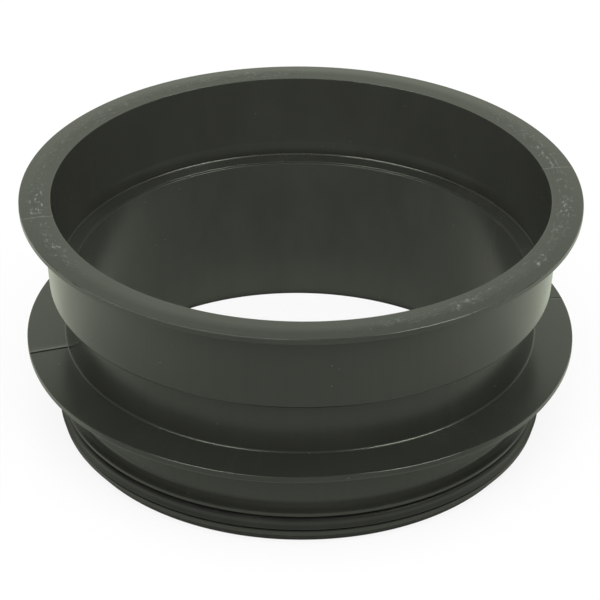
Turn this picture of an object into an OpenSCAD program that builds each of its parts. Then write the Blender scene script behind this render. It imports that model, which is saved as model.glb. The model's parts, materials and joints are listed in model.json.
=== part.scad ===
// Toilet flange: a moulded ring that carries a dry toilet on its drop pipe.
// A wide lip and a socket face up, a fin closes the hole in the floor around the spigot,
// and the spigot below goes into the pipe with a rubber seal in its groove.
// Millimetres, +Z up. The origin is the centre of the bottom rim, on the axis of the bore.

/* [Socket] */
// Bore of the socket's straight seat, which holds the upper pipe
socket_d = 244.4; // [210:0.2:300]
// Depth of the socket, from the top of the lip to the ledge
socket_depth = 46.2; // [30:0.2:90]
// Straight length of the seat, above the gasket
socket_seat = 7; // [3:0.5:15]
// Widening of the socket from its seat to its mouth, on the radius
mouth_flare = 2; // [0.5:0.1:6]
// Rounding of the mouth's edge
mouth_edge_r = 0.5; // [0.2:0.1:1.5]
// Wall of the socket at its seat
socket_wall = 4.1; // [2.5:0.1:6]
// Widening of the socket's outside from its lower edge to the lip, on the radius
barrel_flare = 2.7; // [0.5:0.1:6]

/* [Lip] */
// Width of the lip, from the socket's mouth to the rim
lip_w = 15.8; // [12:0.1:30]
// Thickness of the lip at its rim
lip_t = 3.1; // [2:0.1:6]
// Width of the lip's flat top, from the mouth to where it starts to fall
lip_flat_w = 8.3; // [6:0.1:9]
// Fall of the lip's top from its flat part to the rim
lip_fall = 0.5; // [0.2:0.1:1]
// Rounding between the flat and the falling part
lip_bend_r = 50; // [10:5:60]
// Rounding of the rim's two edges
lip_edge_r = 0.6; // [0.3:0.1:0.9]
// Fillet between the lip and the socket
lip_root_r = 2.5; // [0.5:0.1:4]

/* [Ledge and gasket] */
// Width of the ledge at the bottom of the socket
ledge_w = 7.8; // [5:0.1:12]
// Rounding of the ledge's inner edge
ledge_edge_r = 0.3; // [0.1:0.1:1]
// Thickness of the gasket at its turned-up rim
gasket_t = 1.3; // [1.3:0.1:3]
// Fall of the gasket's top from its rim to the bore
gasket_fall = 0.4; // [0.1:0.1:0.4]
// Rounding of the gasket's inner edge
gasket_edge_r = 0.7; // [0.2:0.1:0.8]
// Height of the gasket's turned-up rim
gasket_rise = 0.9; // [0.9:0.1:2]
// Fillet between the gasket and its turned-up rim
gasket_root_r = 0.8; // [0.2:0.1:0.8]
// Depth of the undercut that holds the gasket's rim
gasket_hold = 1.1; // [0.8:0.1:1.4]
// Clearance of the gasket's rim in the undercut
gasket_gap = 0.2; // [0.1:0.05:0.3]

/* [Neck] */
// Length of the neck, from the fin up to the step
neck_len = 25.9; // [10:0.1:60]
// Wall of the neck below the ledge
neck_wall = 4.6; // [3:0.1:8]
// Thickness of the step under the ledge, where it leaves the neck
step_t = 4.3; // [4:0.1:10]
// Slope of the step's underside
step_slope = 30; // [15:1:35]
// Rounding of the socket's lower edge
step_edge_r = 1; // [0.3:0.1:2]

/* [Fin] */
// Reach of the fin from the neck
fin_w = 19.8; // [10:0.1:40]
// Thickness of the fin
fin_t = 4; // [2.5:0.1:6]
// Drop of the fin from its root to its rim
fin_fall = 1.2; // [0.2:0.1:6]
// Rounding of the fin's upper edge
fin_edge_r = 0.5; // [0.2:0.1:1]
// Rounding of the fin's lower edge
fin_lower_edge_r = 1.1; // [0.2:0.1:1.3]
// Fillet over the fin's root
fin_top_r = 1; // [0.3:0.1:3]
// Fillet under the fin's root
fin_under_r = 5; // [1:0.5:8]

/* [Spigot] */
// Length of the spigot, from the bottom rim to the root of the fin
spigot_len = 51.6; // [42:0.1:120]
// Wall of the spigot at the bottom rim
spigot_wall = 3.9; // [3:0.1:8]
// Draft of the bore from the ledge to the bottom rim, on the radius
bore_draft = 0.3; // [0.2:0.1:3]
// Height of the two beads on the spigot's wall
bead_h = 4.3; // [3:0.1:6]
// Straight length of the lower bead
bead_land = 1.9; // [1.5:0.1:6]
// Rounding of the beads' edges
bead_edge_r = 0.7; // [0.2:0.1:1]
// Thickness of the upper bead at its edge
bead_rim = 2.2; // [1.8:0.1:4]
// Slope of the upper bead's top
bead_slope = 27; // [10:1:45]
// Fillet between the upper bead and the spigot's wall
bead_root_r = 5; // [1:0.5:7]
// Length of the tapered tip
lead_in_len = 5.5; // [3:0.1:12]
// Narrowing of the tip, on the radius
lead_in_w = 4.3; // [1:0.1:5]

/* [Seal] */
// Height of the seal's groove between the beads
groove_h = 8.2; // [8:0.1:14]
// Depth of the groove's floor below the spigot's wall
groove_sink = 0.7; // [0.2:0.1:1.5]
// Stand of the seal's body past the beads
seal_stand = 0.5; // [0.2:0.1:1]
// Reach of the seal's flared lip past its body
seal_reach = 0.8; // [0.3:0.1:2]
// Height of the flared lip, up to where it leaves the body
seal_lip_h = 2.8; // [1.5:0.1:3.2]
// Setback of the seal's foot from the edge of the beads
seal_setback = 1.5; // [0.8:0.1:2.5]
// Open slit between the seal and each bead
seal_slit = 1.1; // [0.4:0.1:1.3]
// Rounding of the lip's edge
seal_edge_r = 0.4; // [0.1:0.05:0.5]
// Rounding between the flared lip and the body
seal_bend_r = 2; // [0.5:0.5:4]
// Rounding of the body's upper edge
seal_shoulder_r = 1.6; // [0.3:0.1:1.7]
// Clearance inside and above the seal
seal_gap = 0.2; // [0.05:0.05:0.3]

/* [Hidden] */
$fn = 96;
// Straight pieces in each rounded corner of an outline
arc_steps = 6;
plastic = [0.19, 0.20, 0.18];
seal_rubber = [0.15, 0.16, 0.15];
gasket_rubber = [0.13, 0.13, 0.13];

// Radii, from the socket inwards and outwards
socket_r = socket_d / 2;
mouth_r = socket_r + mouth_flare;
lip_r = mouth_r + lip_w;
bore_top_r = socket_r - ledge_w;
bore_r = bore_top_r - bore_draft;
neck_r = bore_top_r + neck_wall;
fin_r = neck_r + fin_w;
spigot_r = bore_r + spigot_wall;
bead_r = spigot_r + bead_h;
tip_r = bead_r - lead_in_w;
groove_r = spigot_r - groove_sink;

// Heights, from the bottom rim upwards
bead_top_z = lead_in_len + bead_land + bead_edge_r;
groove_top_z = bead_top_z + groove_h;
bead_rim_z = groove_top_z + bead_rim;
bead_root_z = bead_rim_z + bead_h * tan(bead_slope);
fin_z = spigot_len;
step_z = fin_z + neck_len;
ledge_z = step_z + step_t;
gasket_rim_z = ledge_z + gasket_t + gasket_rise;
gasket_top_z = gasket_rim_z + gasket_gap;
seat_top_z = gasket_top_z + socket_seat;
top_z = ledge_z + socket_depth;
lip_rim_z = top_z - lip_fall;
lip_z = lip_rim_z - lip_t;

// Outside of the socket
socket_edge_r = socket_r + socket_wall;
socket_edge_z = step_z + (socket_edge_r - neck_r) * tan(step_slope);
socket_top_r = socket_edge_r + barrel_flare;

// Underside of the fin, parallel to its top
fin_rim_z = fin_z - fin_fall;
fin_root_z = fin_z - fin_t + (neck_r - spigot_r) * fin_fall / fin_w;

function unit(v) = v / norm(v);

// Signed turn from one direction to another, between -180 and 180 degrees
function turn(from, to) =
    atan2(from.x * to.y - from.y * to.x, from * to);

// Arc of the given radius that rounds corner b between its neighbours a and c
function corner_arc(a, b, c, radius) =
    let(
        u = unit(a - b),
        v = unit(c - b),
        half = acos(u * v) / 2,
        centre = b + unit(u + v) * radius / sin(half),
        first = b + u * radius / tan(half) - centre,
        last = b + v * radius / tan(half) - centre,
        start = atan2(first.y, first.x),
        sweep = turn(first, last)
    )
    [for (i = [0:arc_steps]) centre + radius * [cos(start + sweep * i / arc_steps),
                                                sin(start + sweep * i / arc_steps)]];

// Outline through corners [r, z, rounding]: each rounded corner becomes an arc
function outline(corners) =
    let(
        n = len(corners),
        at = [for (c = corners) [c[0], c[1]]]
    )
    [for (i = [0:n - 1])
        each corners[i][2] > 0
            ? corner_arc(at[(i + n - 1) % n], at[i], at[(i + 1) % n], corners[i][2])
            : [at[i]]];

module ring(corners) {
    rotate_extrude()
        polygon(outline(corners));
}

// The one-piece moulding, outlined from the bottom rim up its outside and down its bore
module flange_body() {
    color(plastic)
        ring([
            [bore_r, 0, 0],
            [tip_r, 0, 0],
            // lower bead and its tapered tip
            [bead_r, lead_in_len, 0],
            [bead_r, bead_top_z, bead_edge_r],
            // seal groove
            [groove_r, bead_top_z, 0],
            [groove_r, groove_top_z, 0],
            // upper bead, flaring up into the spigot's wall
            [bead_r, groove_top_z, bead_edge_r],
            [bead_r, bead_rim_z, bead_edge_r],
            [spigot_r, bead_root_z, bead_root_r],
            // fin
            [spigot_r, fin_root_z, fin_under_r],
            [fin_r, fin_rim_z - fin_t, fin_lower_edge_r],
            [fin_r, fin_rim_z, fin_edge_r],
            [neck_r, fin_z, fin_top_r],
            // step out to the socket
            [neck_r, step_z, 0],
            [socket_edge_r, socket_edge_z, step_edge_r],
            // lip
            [socket_top_r, lip_z, lip_root_r],
            [lip_r, lip_z, lip_edge_r],
            [lip_r, lip_rim_z, lip_edge_r],
            [mouth_r + lip_flat_w, top_z, lip_bend_r],
            [mouth_r, top_z, mouth_edge_r],
            // inside of the socket, the gasket's undercut and the ledge
            [socket_r, seat_top_z, 0],
            [socket_r, gasket_top_z, 0],
            [socket_r + gasket_hold, gasket_top_z, 0],
            [socket_r + gasket_hold, ledge_z, 0],
            [bore_top_r, ledge_z, ledge_edge_r],
        ]);
}

// Rubber ring in the spigot's groove: a foot between the beads, a body that stands a little past
// them and a lip that flares downwards
module spigot_seal() {
    foot_in_r = groove_r + seal_gap;
    foot_out_r = bead_r - seal_setback;
    body_r = bead_r + seal_stand;
    lip_out_r = body_r + seal_reach;
    lip_bottom_z = bead_top_z + seal_slit;
    bend_z = lip_bottom_z + seal_lip_h;
    body_top_z = groove_top_z - seal_slit;
    color(seal_rubber)
        ring([
            [foot_in_r, bead_top_z, 0],
            [foot_out_r, bead_top_z, 0],
            [foot_out_r, lip_bottom_z, 0],
            [lip_out_r, lip_bottom_z, seal_edge_r],
            [body_r, bend_z, seal_bend_r],
            [body_r, body_top_z, seal_shoulder_r],
            [foot_out_r, body_top_z, 0],
            [foot_out_r, groove_top_z - seal_gap, 0],
            [foot_in_r, groove_top_z - seal_gap, 0],
        ]);
}

// Rubber ring on the ledge, its rim turned up behind the socket's seat
module seat_gasket() {
    hole_r = bore_top_r + ledge_edge_r;
    rim_r = socket_r + gasket_hold - gasket_gap;
    rim_in_r = socket_r + gasket_gap;
    color(gasket_rubber)
        ring([
            [hole_r, ledge_z, 0],
            [rim_r, ledge_z, 0],
            [rim_r, gasket_rim_z, 0],
            [rim_in_r, gasket_rim_z, 0],
            [rim_in_r, ledge_z + gasket_t, gasket_root_r],
            [hole_r, ledge_z + gasket_t - gasket_fall, gasket_edge_r],
        ]);
}

flange_body();
spigot_seal();
seat_gasket();
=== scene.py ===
import json
import math

import bpy
import numpy as np
from mathutils import Matrix, Vector


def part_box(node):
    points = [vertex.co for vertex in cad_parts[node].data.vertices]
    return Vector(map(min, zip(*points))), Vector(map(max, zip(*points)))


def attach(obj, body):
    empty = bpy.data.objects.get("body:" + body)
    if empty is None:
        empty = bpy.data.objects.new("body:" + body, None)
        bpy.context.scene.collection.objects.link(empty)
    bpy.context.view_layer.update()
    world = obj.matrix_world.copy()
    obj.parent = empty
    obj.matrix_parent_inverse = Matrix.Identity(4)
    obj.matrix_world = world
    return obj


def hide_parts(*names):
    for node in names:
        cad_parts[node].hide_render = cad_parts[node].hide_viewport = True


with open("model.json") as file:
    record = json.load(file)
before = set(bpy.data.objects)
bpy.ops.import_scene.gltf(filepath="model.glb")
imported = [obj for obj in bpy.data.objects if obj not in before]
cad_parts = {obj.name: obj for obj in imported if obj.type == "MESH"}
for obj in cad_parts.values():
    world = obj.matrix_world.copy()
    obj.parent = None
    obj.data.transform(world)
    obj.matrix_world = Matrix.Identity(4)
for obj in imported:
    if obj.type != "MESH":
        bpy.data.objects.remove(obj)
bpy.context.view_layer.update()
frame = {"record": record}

# Flange body
# The one-piece moulding that everything else fits on: a wide lip over a tapered socket, a neck with
# a thin fin, and a spigot with two beads. It is dark olive-grey plastic, moulded in a split tool
# that left two parting seams up its outside, and the lip is scuffed pale where toilets have stood.
mounts = {mount["name"]: mount["dims"] for mount in frame["record"]["mounts"] if mount["dims"]}
body_low, body_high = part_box("flange_body")
seal_low, seal_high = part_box("spigot_seal")
gasket_low, gasket_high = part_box("seat_gasket")

# Lip, whose top falls from a rounded crown to the rim outside and to the socket's mouth inside. The
# crown's corner lies a little over the top, and its rounding takes that off.
top = body_high.z
lip_radius = min(-body_low.x, -body_low.y, body_high.x, body_high.y)
lip_width = 0.0158
lip_thickness = 0.0031
lip_fall = 0.0005
lip_edge = 0.0006
lip_root = 0.0025
lip_rim = top - lip_fall
lip_under = lip_rim - lip_thickness
mouth_radius = lip_radius - lip_width
mouth_fall = 0.00018
mouth_edge = 0.0003
crown_from_mouth = 0.0083
crown_over_top = 0.000045
crown_rounding = 0.05

# Socket, with its outer barrel, the seat at its foot and the undercut that holds the gasket
socket_radius = mounts["socket"]["r_mm"] / 1000
socket_wall = 0.0041
barrel_flare = 0.0027
barrel_edge = 0.0016
barrel_radius = socket_radius + socket_wall
barrel_top_radius = barrel_radius + barrel_flare
ledge = gasket_low.z
ledge_width = 0.0078
gasket_gap = 0.0002
seat_low = gasket_high.z + gasket_gap
seat_high = seat_low + mounts["socket"]["length_mm"] / 1000
undercut_radius = gasket_high.x + gasket_gap

# Neck and bore, and the sloping step from the neck out to the barrel
bore_draft = 0.0003
bore_top_radius = socket_radius - ledge_width
bore_radius = bore_top_radius - bore_draft
neck_wall = 0.0046
neck_radius = bore_top_radius + neck_wall
neck_height = 0.0259
fin_height = 0.0516
step_height = fin_height + neck_height
step_slope = math.radians(30)
step_root = 0.0015
barrel_low = step_height + (barrel_radius - neck_radius) * math.tan(step_slope)

# Fin, which falls a little to its rim
fin_width = 0.0198
fin_thickness = 0.0037
fin_fall = 0.0013
fin_edge = 0.0011
fin_top_edge = 0.0005
fin_root = 0.001
fin_radius = neck_radius + fin_width
fin_rim = fin_height - fin_fall

# Spigot, with the groove between its beads and a tapered tip
spigot_wall = 0.0039
spigot_fillet = 0.005
spigot_radius = bore_radius + spigot_wall
bead_radius = mounts["spigot"]["r_mm"] / 1000
bead_height = 0.0022
bead_edge = 0.0007
bead_slope = math.radians(27)
tip_taper = 0.0043
tip_radius = bead_radius - tip_taper
tip_height = 0.0055
seal_gap = 0.0002
groove_depth = 0.0007
groove_low = seal_low.z
groove_high = seal_high.z + seal_gap
groove_radius = spigot_radius - groove_depth
bead_rim = groove_high + bead_height
bead_root = bead_rim + (bead_radius - spigot_radius) * math.tan(bead_slope)

# The tool's own small roundings, on edges that were cut sharp in it
crisp = 0.00015
soft = 0.0003

# Radius, height and rounding of each corner, from the bottom rim up the outside and down the bore
body_corners = np.array([
    (bore_radius, 0, soft),
    (tip_radius, 0, soft),
    (bead_radius, tip_height, soft),
    (bead_radius, groove_low, bead_edge),
    (groove_radius, groove_low, soft),
    (groove_radius, groove_high, soft),
    (bead_radius, groove_high, bead_edge),
    (bead_radius, bead_rim, bead_edge),
    (spigot_radius, bead_root, spigot_fillet),
    (spigot_radius, fin_height - fin_thickness, spigot_fillet),
    (fin_radius, fin_rim - fin_thickness, fin_edge),
    (fin_radius, fin_rim, fin_top_edge),
    (neck_radius, fin_height, fin_root),
    (neck_radius, step_height, step_root),
    (barrel_radius, barrel_low, barrel_edge),
    (barrel_top_radius, lip_under, lip_root),
    (lip_radius, lip_under, lip_edge),
    (lip_radius, lip_rim, lip_edge),
    (mouth_radius + crown_from_mouth, top + crown_over_top, crown_rounding),
    (mouth_radius, top - mouth_fall, mouth_edge),
    (socket_radius, seat_high, soft),
    (socket_radius, seat_low, crisp),
    (undercut_radius, seat_low, crisp),
    (undercut_radius, ledge, crisp),
    (bore_top_radius, ledge, soft),
])


def unit(vectors):
    """Each row divided by its own length."""
    return vectors / np.linalg.norm(vectors, axis=-1, keepdims=True)


def rounded_outline(corners, steps=6):
    """Points and outward normals along a closed outline whose corners are rounded.

    The centre of a corner's arc lies on its bisector, at rounding / sin(half the angle). The arc's
    points, seen from that centre, and their normals turn evenly from one side to the next: each is
    the blend of its two ends by sin((1 - t) turn) and sin(t turn), over sin(turn).
    """
    corner, rounding = corners[:, :2], corners[:, 2:]
    back = unit(np.roll(corner, 1, axis=0) - corner)
    ahead = unit(np.roll(corner, -1, axis=0) - corner)
    half = np.arccos(np.sum(back * ahead, axis=1, keepdims=True)) / 2
    centre = corner + unit(back + ahead) * rounding / np.sin(half)
    first = corner + back * rounding / np.tan(half) - centre
    last = corner + ahead * rounding / np.tan(half) - centre
    side_in = np.stack([-back[:, 1], back[:, 0]], axis=1)
    side_out = np.stack([ahead[:, 1], -ahead[:, 0]], axis=1)
    turn = math.pi - 2 * half[:, None]
    share = np.linspace(0, 1, steps + 1)[None, :, None]
    fade = np.sin((1 - share) * turn) / np.sin(turn)
    grow = np.sin(share * turn) / np.sin(turn)
    points = centre[:, None] + fade * first[:, None] + grow * last[:, None]
    normals = fade * side_in[:, None] + grow * side_out[:, None]
    return points.reshape(-1, 2), normals.reshape(-1, 2)


def ring(name, outline, normals, angles, relief=0.0, tilt=0.0, hinge=0.0):
    """A closed ring: the outline carried round the Z axis, as (r cos a, r sin a, z).

    relief lifts each point along its normal, and tilt turns it up about the circle of radius hinge,
    by tilt (r - hinge), and its normal with it. The normal then leans back along the circle by the
    surface's slope there, which is its change along the normal with the angle, over the radius.
    """
    relief = np.broadcast_to(relief, (len(angles), len(outline)))
    radius = outline[:, 0] + relief * normals[:, 0]
    height = outline[:, 1] + relief * normals[:, 1] + tilt * (outline[:, 0] - hinge)
    outward = normals[:, 0] - tilt * normals[:, 1]
    upward = normals[:, 1] + tilt * normals[:, 0]
    cos = np.cos(angles)[:, None]
    sin = np.sin(angles)[:, None]
    points = np.stack([radius * cos, radius * sin, height], axis=-1)
    slope = (np.gradient(radius, angles, axis=0) * normals[:, 0]
             + np.gradient(height, angles, axis=0) * normals[:, 1]) / radius
    lean = np.stack([outward * cos + slope * sin, outward * sin - slope * cos,
                     np.broadcast_to(upward, radius.shape)], axis=-1)
    index = np.arange(radius.size).reshape(radius.shape)
    along = np.roll(index, -1, axis=0)
    quads = np.stack([index, along, np.roll(along, -1, axis=1), np.roll(index, -1, axis=1)], axis=-1)
    mesh = bpy.data.meshes.new(name)
    mesh.from_pydata(points.reshape(-1, 3).tolist(), [], quads.reshape(-1, 4).tolist())
    mesh.shade_smooth()
    mesh.normals_split_custom_set_from_vertices(unit(lean).reshape(-1, 3).tolist())
    piece = bpy.data.objects.new(name, mesh)
    bpy.context.scene.collection.objects.link(piece)
    return piece


body_outline, body_normals = rounded_outline(body_corners)
ring_steps = 400
around = np.linspace(-math.pi, math.pi, ring_steps, endpoint=False)

# Parting seams: azimuths of the two joints of the tool, and the section across the left one on the
# fin, where the back half ends in a raised edge over an open crease. The right one is a nick there.
left_seam = math.radians(-167.2)
right_seam = math.radians(11.6)
crease_across = np.array([-6, -3, -1.5, -0.6, -0.2, -0.1, 0, 0.3, 0.4, 1.5, 4]) / 1000
crease_height = np.array([0, 0.04, 0.12, 0.26, 0.32, 0.3, -0.7, -0.7, 0, 0, 0]) / 1000
nick_depth = 0.00012
ridge_across = np.linspace(-1.2, 1.2, 9) / 1000
ridge_height = 0.00006
ridge_width = 0.0004
seam_samples = np.concatenate([crease_across, ridge_across]) / neck_radius
body_angles = np.unique(np.concatenate([around, left_seam + seam_samples, right_seam + seam_samples]))

# From the fin up, the seams are low ridges on the other faces, and fine grooves on top of the lip
nearly_up = 0.9
faces_up = body_normals[:, 1] > nearly_up
fin_top = faces_up & (np.abs(body_outline[:, 1] - fin_height) < fin_thickness)
lip_top = faces_up & (body_outline[:, 1] > lip_under)
upper = (body_outline[:, 0] > neck_radius - crisp) & (body_outline[:, 1] > fin_rim - fin_thickness)
left_across = (body_angles[:, None] - left_seam) * body_outline[:, 0]
right_across = (body_angles[:, None] - right_seam) * body_outline[:, 0]
left_line = np.exp(-(left_across / ridge_width) ** 2)
right_line = np.exp(-(right_across / ridge_width) ** 2)
ridge = ridge_height * (left_line + right_line) * np.where(lip_top, -1, 1)
crease = np.interp(left_across, crease_across, crease_height)
body_relief = np.where(fin_top, crease - nick_depth * right_line, 0) + ridge * (upper & ~fin_top)

# The fin is bent by handling: where it dips and rises along its front, how far round, and how much
bend_at = np.radians([-144, -110, -80, -40])
bend_spread = np.radians([10, 12, 9, 10])
bend_height = np.array([-0.6, 0.35, 1.05, -0.95]) / 1000
fin_bend = np.exp(-0.5 * ((body_angles[:, None] - bend_at) / bend_spread) ** 2) @ bend_height
fin_reach = 0.008
on_fin = (body_outline[:, 0] > neck_radius) & (np.abs(body_outline[:, 1] - fin_height) < fin_reach)
fin_tilt = fin_bend[:, None] / fin_width * on_fin
flange_body = ring("flange_moulding", body_outline, body_normals, body_angles, body_relief,
                   fin_tilt, neck_radius)


class Shade:
    """A value in a material's node tree. Arithmetic on values adds Math nodes to that tree."""

    def __init__(self, tree, socket=None):
        self.tree = tree
        self.socket = socket

    def node(self, kind, settings, sockets, out=0):
        """Adds one node: first its settings, then the value or the link of each socket named."""
        node = self.tree.nodes.new(kind)
        for name, value in settings.items():
            setattr(node, name, value)
        for name, value in sockets.items():
            if isinstance(value, Shade):
                self.tree.links.new(value.socket, node.inputs[name])
            else:
                node.inputs[name].default_value = value
        return Shade(self.tree, node.outputs[out] if node.outputs else None)

    def math(self, operation, *values):
        """One Math node on these values."""
        return self.node("ShaderNodeMath", {"operation": operation}, dict(enumerate(values)))

    def __add__(self, other):
        return self.math("ADD", self, other)

    def __sub__(self, other):
        return self.math("SUBTRACT", self, other)

    def __rsub__(self, other):
        return self.math("SUBTRACT", other, self)

    def __mul__(self, other):
        return self.math("MULTIPLY", self, other)

    def __pow__(self, other):
        return self.math("POWER", self, other)

    def __neg__(self):
        return 0 - self

    def __abs__(self):
        return self.math("ABSOLUTE", self)

    __radd__ = __add__
    __rmul__ = __mul__

    def split(self):
        """The X, Y and Z of a vector."""
        return [self.node("ShaderNodeSeparateXYZ", {}, {0: self}, out=axis) for axis in range(3)]

    def vector(self, *parts):
        """The vector with this X, Y and Z."""
        return self.node("ShaderNodeCombineXYZ", {}, dict(enumerate(parts)))

    def rise(self, low, high):
        """Goes smoothly from 0 at low to 1 at high."""
        return self.node("ShaderNodeMapRange", {"interpolation_type": "SMOOTHSTEP"},
                         {"Value": self, "From Min": low, "From Max": high})

    def near(self, middle, full, reach):
        """Of an angle: 1 within full degrees of middle, going smoothly to 0 at reach degrees."""
        facing = self.math("COSINE", self - math.radians(middle))
        return facing.rise(math.cos(math.radians(reach)), math.cos(math.radians(full)))

    def mix(self, colour, other):
        """The first colour where this value is 0, and the other where it is 1."""
        return self.node("ShaderNodeMix", {"data_type": "RGBA"}, {0: self, 6: colour, 7: other}, out=2)

    def noise(self, scale, detail=2.0, roughness=0.5):
        """Noise at this place, with features about 1 / scale across."""
        return self.node("ShaderNodeTexNoise", {},
                         {"Vector": self, "Scale": scale, "Detail": detail, "Roughness": roughness})


def new_material(name):
    """An empty material, and the object coordinates to work with in it."""
    material = bpy.data.materials.new(name)
    material.use_nodes = True
    material.node_tree.nodes.clear()
    start = Shade(material.node_tree)
    return material, start.node("ShaderNodeTexCoord", {}, {}, out="Object")


def finish_material(place, sockets):
    """A Principled surface with these sockets, joined to the output."""
    surface = place.node("ShaderNodeBsdfPrincipled", {}, sockets)
    place.node("ShaderNodeOutputMaterial", {}, {"Surface": surface})


def lip_rubs(place, radius, turn):
    """How much each place round the lip is rubbed: a band along its crown, stronger in patches.

    The band rises and falls with the distance from the mouth. Round the lip it has the share of
    each worn stretch, given by its middle and its reach in degrees, and a slow noise breaks it up.
    """
    from_mouth = radius - mouth_radius
    crown = from_mouth.rise(0.001, 0.005) * (1 - from_mouth.rise(0.008, 0.014))
    rubbed = 0.15
    for middle, reach in ((8, 42), (-52, 34), (-161, 24), (165, 36), (118, 36)):
        rubbed = rubbed + turn.near(middle, reach / 3, reach)
    return crown * rubbed * (0.45 + place.noise(30, 3).rise(0.35, 0.65) * 0.45)


def scuff_marks(radius, turn, z):
    """Pale marks drawn out along the lip: the sum of four noises, from short blots to long smears.

    The first two numbers of each scale it across the lip and round it. Then come its detail and
    roughness, the levels at which its marks start and are full, and their strength.
    """
    marks = 0
    for fine, along, detail, roughness, low, high, strength in (
            (480, 42, 4, 0.7, 0.55, 0.68, 0.62),
            (650, 24, 3, 0.65, 0.57, 0.68, 0.5),
            (900, 5, 3, 0.6, 0.6, 0.72, 0.25),
            (190, 13, 3, 0.6, 0.42, 0.7, 0.12)):
        drawn = z.vector(radius * fine, turn * along, z * fine)
        marks = marks + drawn.noise(1, detail, roughness).rise(low, high) * strength
    return marks


def seam_lines(radius, turn):
    """1 along the two parting seams, fading out within a millimetre across."""
    lines = 0
    for seam in (left_seam, right_seam):
        lines = lines + (1 - abs((turn - seam) * radius).rise(0.0002, 0.0007))
    return lines


def olive_plastic():
    """Dark moulded plastic: faint flow marks, a satin grain, a paler film inside, dust and wear.

    The film in the socket and bore is partly a stain and partly painted light on the inner walls.
    Dust lies all over it. The rest of the wear is on the lip: scuffs on its crown, a rim paled by
    hands at two places and dulled at a third, and pale lines along the seams, which are partly worn
    edges and partly a painted highlight.
    """
    plastic_dark = (0.0205, 0.0222, 0.018, 1)
    plastic_light = (0.0282, 0.0305, 0.0248, 1)
    film_and_light_grey = (0.05, 0.053, 0.044, 1)
    scuffed_pale = (0.24, 0.245, 0.225, 1)
    material, place = new_material("olive_plastic")
    x, y, z = place.split()
    radius = (x * x + y * y) ** 0.5
    turn = y.math("ARCTAN2", y, x)

    on_lip = z.rise(lip_rim - 0.001, lip_rim - 0.0004)
    rubs = on_lip * lip_rubs(place, radius, turn)
    scuffs = rubs * scuff_marks(radius, turn, z)
    cells = place.node("ShaderNodeTexVoronoi", {}, {"Vector": place, "Scale": 150})
    dust = (1 - cells.rise(0.03, 0.07)) * place.noise(40, 1).rise(0.52, 0.6)
    handled = turn.near(-32, 20, 40) + turn.near(-146, 13, 26)
    rim_wear = on_lip * radius.rise(lip_radius - 0.0008, lip_radius - 0.0003) * handled
    rim_wear = rim_wear * (0.6 + place.noise(90, 3).rise(0.4, 0.65) * 0.4)
    dulled = on_lip * radius.rise(lip_radius - 0.0008, lip_radius - 0.0004) * turn.near(-112, 14, 28)
    # The pale lines along the seams on the lip are partly worn edges and partly a painted highlight.
    wear_and_seam_highlight = scuffs + dust * 0.3 + rim_wear * 0.27 + on_lip * seam_lines(radius, turn) * 0.3

    flow = place.vector(turn * 30, z * 8, radius * 40).noise(1, 3) - 0.5
    mottle = place.noise(22, 3) - 0.5
    plain = (0.5 + flow * 0.5 + mottle * 0.6).rise(0, 1).mix(plastic_dark, plastic_light)
    # The paler film inside the socket and bore is partly a stain and partly painted light, lightening
    # the inner walls.
    in_socket = (1 - radius.rise(mouth_radius, mouth_radius + 0.001)) * z.rise(ledge - 0.001, ledge)
    in_bore = 1 - radius.rise(bore_top_radius, bore_top_radius + 0.001)
    film_patches = place.vector(turn * 7, z * 24, radius * 22).noise(1, 4, 0.55)
    film_and_painted_light = (in_socket * 0.4 + in_bore * 0.55) * (0.4 + film_patches * 1.2)
    filmed_and_lightened = film_and_painted_light.mix(plain, film_and_light_grey)

    grain = place.noise(1500, 2)
    bump = place.node("ShaderNodeBump", {}, {"Strength": 0.12, "Distance": 0.0002,
                                             "Height": grain + wear_and_seam_highlight * 1.5})
    finish_material(place, {
        "Base Color": wear_and_seam_highlight.rise(0, 1).mix(filmed_and_lightened, scuffed_pale),
        "Roughness": 0.23 + mottle * 0.08 + wear_and_seam_highlight * 0.25 + rubs * 0.08 + dulled * 0.35,
        "IOR": 1.54,
        "Normal": bump,
    })
    return material


flange_body.data.materials.append(olive_plastic())
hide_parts("flange_body")
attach(flange_body, "root")

# Spigot seal
# A moulded rubber ring that sits in the groove between the beads. Its lip flares downwards past
# them, with an open slit above and below, and wipes the inside of the drop pipe.
seal_foot_depth = 0.0015
seal_foot_step = 0.0003
seal_foot_radius = bead_radius - seal_foot_depth
seal_neck_radius = seal_foot_radius - seal_foot_step
seal_body_past_bead = 0.0005
seal_body_radius = bead_radius + seal_body_past_bead
seal_lip_past_bead = 0.0013
seal_lip_radius = bead_radius + seal_lip_past_bead
seal_lip_lift = 0.0015
seal_lip_low = groove_low + seal_lip_lift
seal_lip_edge = 0.0004
seal_bend_lift = 0.0039
seal_bend = groove_low + seal_bend_lift
seal_bend_rounding = 0.002
seal_slit = 0.0011
seal_shoulder = 0.0016
seal_corners = np.array([
    (groove_radius + seal_gap, groove_low, crisp),
    (seal_foot_radius, groove_low, crisp),
    (seal_foot_radius, seal_lip_low, crisp),
    (seal_lip_radius, seal_lip_low, seal_lip_edge),
    (seal_body_radius, seal_bend, seal_bend_rounding),
    (seal_body_radius, groove_high - seal_slit, seal_shoulder),
    (seal_neck_radius, groove_high - seal_slit, crisp),
    (seal_neck_radius, groove_high - seal_gap, crisp),
    (groove_radius + seal_gap, groove_high - seal_gap, crisp),
])
seal_outline, seal_normals = rounded_outline(seal_corners)
spigot_seal = ring("spigot_lip_seal", seal_outline, seal_normals, around)


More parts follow.
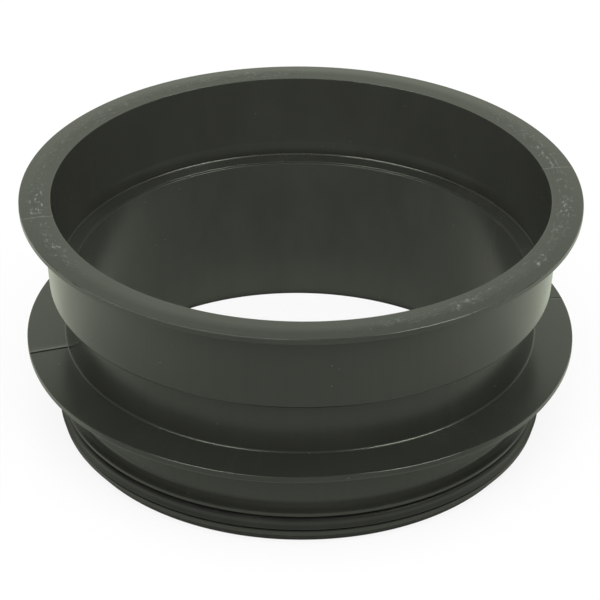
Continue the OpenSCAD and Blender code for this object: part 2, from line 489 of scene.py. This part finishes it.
def dark_rubber(name, colour, bloomed, roughness, relief):
    """Moulded rubber: satin, with a slow pale bloom, a little fine dust and a fine grain."""
    material, place = new_material(name)
    bloom = place.noise(35, 4, 0.6)
    dust = place.noise(700, 3, 0.7).rise(0.58, 0.75)
    grain = place.noise(2200, 2)
    tone = bloom.rise(0.35, 0.8) * 0.35 + dust * 0.05
    bump = place.node("ShaderNodeBump", {}, {"Strength": relief, "Distance": 0.0002, "Height": grain})
    finish_material(place, {
        "Base Color": tone.mix(colour, bloomed),
        "Roughness": roughness + bloom * 0.12,
        "IOR": 1.54,
        "Normal": bump,
    })
    return material


seal_black = (0.0125, 0.0136, 0.011, 1)
seal_bloomed = (0.035, 0.0378, 0.031, 1)
spigot_seal.data.materials.append(
    dark_rubber("lip_seal_rubber", seal_black, seal_bloomed, roughness=0.34, relief=0.08))
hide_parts("spigot_seal")
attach(spigot_seal, "root")

# Seat gasket
# A thin rubber ring that lies on the ledge at the foot of the socket. Its rim turns up into the
# undercut behind the seat, and its rounded inner edge follows the bore.
gasket_thickness = 0.0013
gasket_top = gasket_low.z + gasket_thickness
gasket_fall = 0.0004
gasket_inner_edge = 0.0004
gasket_rim_fillet = 0.001
gasket_rim_radius = socket_radius + gasket_gap
gasket_hole_radius = bore_top_radius + soft
gasket_corners = np.array([
    (gasket_hole_radius, gasket_low.z, crisp),
    (gasket_high.x, gasket_low.z, crisp),
    (gasket_high.x, gasket_high.z, crisp),
    (gasket_rim_radius, gasket_high.z, crisp),
    (gasket_rim_radius, gasket_top, gasket_rim_fillet),
    (gasket_hole_radius, gasket_top - gasket_fall, gasket_inner_edge),
])
gasket_outline, gasket_normals = rounded_outline(gasket_corners)
seat_gasket = ring("seat_gasket_ring", gasket_outline, gasket_normals, around)
gasket_grey = (0.029, 0.0312, 0.0255, 1)
gasket_bloomed = (0.05, 0.053, 0.044, 1)
seat_gasket.data.materials.append(
    dark_rubber("gasket_rubber_dark", gasket_grey, gasket_bloomed, roughness=0.2, relief=0.03))
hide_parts("seat_gasket")
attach(seat_gasket, "root")

# Table
# A wide sheet of white paper that the fitting stands on. The camera sees it white, with the
# fitting's soft shadow. In the fitting's reflections the paper glows with painted light and shade:
# dim close by and pale beside and behind.
table_half = 4.0
table_height = -0.0003
table_corners = [(x * table_half, y * table_half, table_height)
                 for x, y in ((-1, -1), (1, -1), (1, 1), (-1, 1))]
table_mesh = bpy.data.meshes.new("table")
table_mesh.from_pydata(table_corners, [], [(0, 1, 2, 3)])
table = bpy.data.objects.new("table", table_mesh)
bpy.context.scene.collection.objects.link(table)

black = (0, 0, 0, 1)
white = (1, 1, 1, 1)
paper_grey = (0.6, 0.6, 0.6, 1)
studio_cast = (0.925, 1, 0.815)


def ray_kinds(shade):
    """1 for rays from the camera, and 1 for rays mirrored by or passing through a piece."""
    seen, in_gloss, in_glass = (shade.node("ShaderNodeLightPath", {}, {}, out=ray)
                                for ray in ("Is Camera Ray", "Is Glossy Ray", "Is Transmission Ray"))
    return seen, (in_gloss + in_glass).rise(0, 1)


def studio_white(level, mirrored):
    """White at this level, with the studio's greenish cast where it is mirrored."""
    return level.mix(black, mirrored.mix(white, (*studio_cast, 1)))


def painted_paper_light_and_shade(x, y):
    """How bright the paper glows in the fitting's reflections, by the place on it in metres: painted
    light and shade.

    The hole's floor is painted dim, and less so towards its front and back. Outside, the front is mid
    grey, the paper close beside and behind the spigot has painted shade, a strip further out has
    painted light, and the paper far to the sides and behind is pale.
    """
    radius = (x * x + y * y) ** 0.5
    inside = 0.14 + y.rise(0, 0.04) * 0.14 + y.rise(0.06, 0.095) * 0.25 + (-y).rise(0, 0.06) * 0.16
    front = 0.53 - radius.rise(0.15, 0.21) * 0.17 + radius.rise(0.23, 0.27) * 0.12
    beside = (y + abs(x) * 0.6).rise(-0.25, 0.2)
    beside = beside * (radius + y.rise(-0.05, 0.03) * 0.02).rise(0.2, 0.245)
    behind = y.rise(0.04, 0.11) * radius.rise(0.165, 0.2)
    # Painted shade on the paper close beside and behind the spigot, and a strip of painted light
    # further out.
    painted_shade_near = y.rise(-0.07, -0.01) * (1 - radius.rise(0.14, 0.175))
    painted_light_strip = y.rise(-0.115, -0.075) * radius.rise(0.16, 0.178) * (1 - radius.rise(0.2, 0.208))
    outside = (front + beside * 0.55 + behind * 0.35) * (1 - painted_shade_near * 0.75) + painted_light_strip * 0.42
    painted_level = (1 - radius.rise(0.109, 0.113)) * inside + radius.rise(0.119, 0.13) * outside
    return 0.08 + painted_level * 0.92


table_paper, spot = new_material("table_paper")
seen, mirrored = ray_kinds(spot)
x, y = spot.split()[:2]
# To the camera the paper glows white; in reflections its glow is painted light and shade by place.
paper_glow_with_painted_shade = seen + mirrored * painted_paper_light_and_shade(x, y)
matte = spot.node("ShaderNodeBsdfDiffuse", {}, {"Color": seen.mix(paper_grey, white)})
bright = spot.node("ShaderNodeEmission", {}, {"Color": studio_white(paper_glow_with_painted_shade, mirrored)})
bright_share = seen * 0.85 + mirrored
lit_and_glowing_paper = spot.node("ShaderNodeMixShader", {}, {0: bright_share, 1: matte, 2: bright})
spot.node("ShaderNodeOutputMaterial", {}, {"Surface": lit_and_glowing_paper})
table_mesh.materials.append(table_paper)

# Light
# Two softboxes above, to the left and to the right, which show only as highlights in the fitting, and
# a soft fill from in front. A white surround gives the even light, and is mirrored bright at the back.
lamp_distance = 1.3
for name, towards, width, depth, power, only_mirrored in (
        ("softbox_left", (-0.381, -0.203, 0.902), 0.6, 0.24, 10, True),
        ("softbox_right", (0.49, -0.203, 0.848), 0.6, 0.28, 10.5, True),
        ("fill", (0, -0.64, 0.77), 0.9, 0.9, 8.5, False)):
    lamp = bpy.data.lights.new(name, "AREA")
    lamp.shape = "RECTANGLE"
    lamp.size = width
    lamp.size_y = depth
    lamp.energy = power
    lamp.color = studio_cast if only_mirrored else white[:3]
    box = bpy.data.objects.new(name, lamp)
    box.location = Vector(towards).normalized() * lamp_distance
    box.rotation_euler = Vector(towards).to_track_quat("Z", "Y").to_euler()
    box.visible_glossy = only_mirrored
    box.visible_diffuse = not only_mirrored
    bpy.context.scene.collection.objects.link(box)

surround = bpy.data.worlds.new("white_surround")
bpy.context.scene.world = surround
surround.use_nodes = True
surround.node_tree.nodes.clear()
surround_light = 0.9
sky = Shade(surround.node_tree)
seen, mirrored = ray_kinds(sky)
back, height = sky.node("ShaderNodeTexCoord", {}, {}, out="Generated").split()[1:]
backdrop = (0.12 + back.rise(0.25, 0.8) * 0.88) * (1 - height.rise(0.35, 0.9) * 0.6)
sky_level = surround_light + seen * (1 - surround_light) + mirrored * (backdrop - surround_light)
sky_light = sky.node("ShaderNodeBackground", {}, {"Color": studio_white(sky_level, mirrored)})
sky.node("ShaderNodeOutputWorld", {}, {"Surface": sky_light})

# Camera
# The photograph's own viewpoint, worked out from its circles: a long lens, looking down at 31
# degrees from in front.
camera_place = (0, -1.20236, 0.78890)
camera_pan = math.radians(0.005)
camera_tilt = math.radians(58.927)
camera_roll = math.radians(0.488)
view = bpy.data.cameras.new("camera")
view.sensor_width = 36
view.lens = 165.682
camera = bpy.data.objects.new("camera", view)
camera.matrix_world = (Matrix.Translation(camera_place)
                       @ Matrix.Rotation(camera_pan, 4, "Z")
                       @ Matrix.Rotation(camera_tilt, 4, "X")
                       @ Matrix.Rotation(camera_roll, 4, "Z"))
bpy.context.scene.collection.objects.link(camera)
bpy.context.scene.camera = camera
bpy.context.scene.view_settings.view_transform = "Standard"
